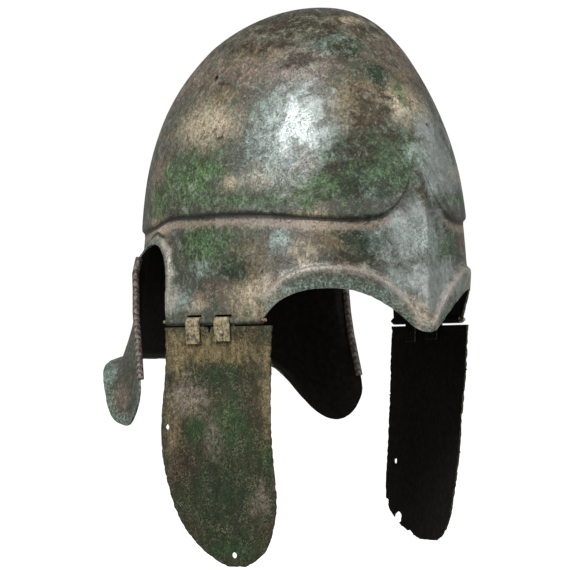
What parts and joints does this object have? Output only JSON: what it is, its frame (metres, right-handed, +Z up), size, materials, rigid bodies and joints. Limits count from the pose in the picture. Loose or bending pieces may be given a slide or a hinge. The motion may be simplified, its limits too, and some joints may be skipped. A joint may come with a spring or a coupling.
{
  "type": "chalcidian helmet",
  "caption": "Bronze open-faced helmet: tall keeled bowl with a stepped brow, nasal, eye arches, ear openings and flared neck guard, and a hinged cheekpiece on each side.",
  "frame": {"origin": "the inside of the bowl's crown, where the helmet sits on a head", "axes": "-Y out of the wearer's face, +X to the wearer's left, +Z up"},
  "size_m": [0.1986, 0.2652, 0.356],
  "materials": {
    "patinated_bronze": "hammered bronze with a mottled brown, green and pale teal patina, worn smooth and shiny in places",
    "corroded_bronze": "bronze with a rough granular brown and green corrosion crust",
    "bronze_wire": "dull bronze wire, brighter where it is worn"
  },
  "bodies": {
    "bowl": {"bowl": "patinated_bronze", "hinge_pin_right": "bronze_wire", "hinge_pin_left": "bronze_wire"},
    "cheek_right": {"cheekpiece_right": "corroded_bronze", "strap_right_rear": "corroded_bronze", "strap_right_front": "corroded_bronze", "rivet_right_rear": "corroded_bronze", "rivet_right_front": "corroded_bronze"},
    "cheek_left": {"cheekpiece_left": "corroded_bronze", "strap_left_rear": "corroded_bronze", "strap_left_front": "corroded_bronze", "rivet_left_rear": "corroded_bronze", "rivet_left_front": "corroded_bronze"}
  },
  "joints": [
    {"name": "cheek_hinge_right", "type": "hinge", "parent": "bowl", "child": "cheek_right", "pos_m": [-0.09069, -0.00317, -0.2006], "axis": [-0.1549, 0.9877, -0.0187], "range_deg": [-25, 120]},
    {"name": "cheek_hinge_left", "type": "hinge", "parent": "bowl", "child": "cheek_left", "pos_m": [0.09069, -0.00317, -0.2006], "axis": [-0.1549, -0.9877, 0.0187], "range_deg": [-25, 120]}
  ]
}
